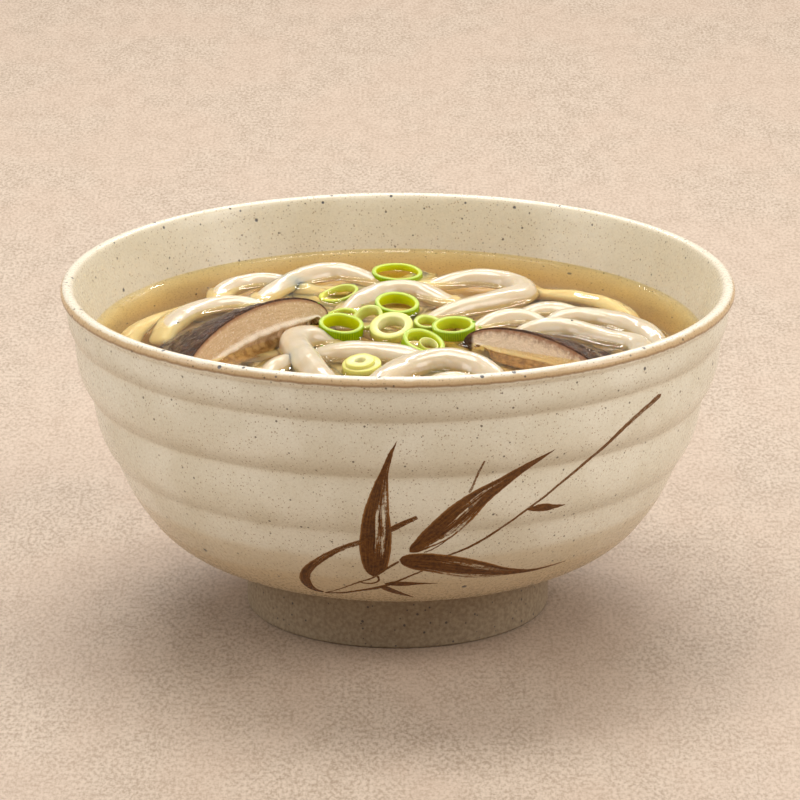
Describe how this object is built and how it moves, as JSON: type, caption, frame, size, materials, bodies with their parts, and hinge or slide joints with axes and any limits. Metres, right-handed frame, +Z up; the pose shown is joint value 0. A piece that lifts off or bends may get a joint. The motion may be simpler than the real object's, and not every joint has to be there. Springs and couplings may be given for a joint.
{
  "type": "udon noodle bowl",
  "caption": "Speckled stoneware donburi bowl with stepped sides and a brushed bamboo leaf, filled with thick udon in clear broth, shiitake halves and spring onion rings.",
  "frame": {"origin": "middle of the bowl's foot, on the surface it stands on", "axes": "+Z up along the bowl's axis; the side with the brushed leaf faces -Y"},
  "size_m": [0.165, 0.165, 0.0826],
  "materials": {
    "speckled_glaze": "gloss",
    "udon": "wet food",
    "clear_broth": "clear liquid",
    "shiitake": "wet food",
    "spring_onion": "wet food"
  },
  "bodies": {
    "root": {"bowl": "speckled_glaze", "broth": "clear_broth", "noodles": "udon", "shiitake_left": "shiitake", "shiitake_right": "shiitake", "spring_onion_01": "spring_onion", "spring_onion_02": "spring_onion", "spring_onion_03": "spring_onion", "spring_onion_04": "spring_onion", "spring_onion_05": "spring_onion", "spring_onion_06": "spring_onion", "spring_onion_07": "spring_onion", "spring_onion_08": "spring_onion", "spring_onion_09": "spring_onion", "spring_onion_10": "spring_onion", "spring_onion_11": "spring_onion"}
  },
  "joints": []
}
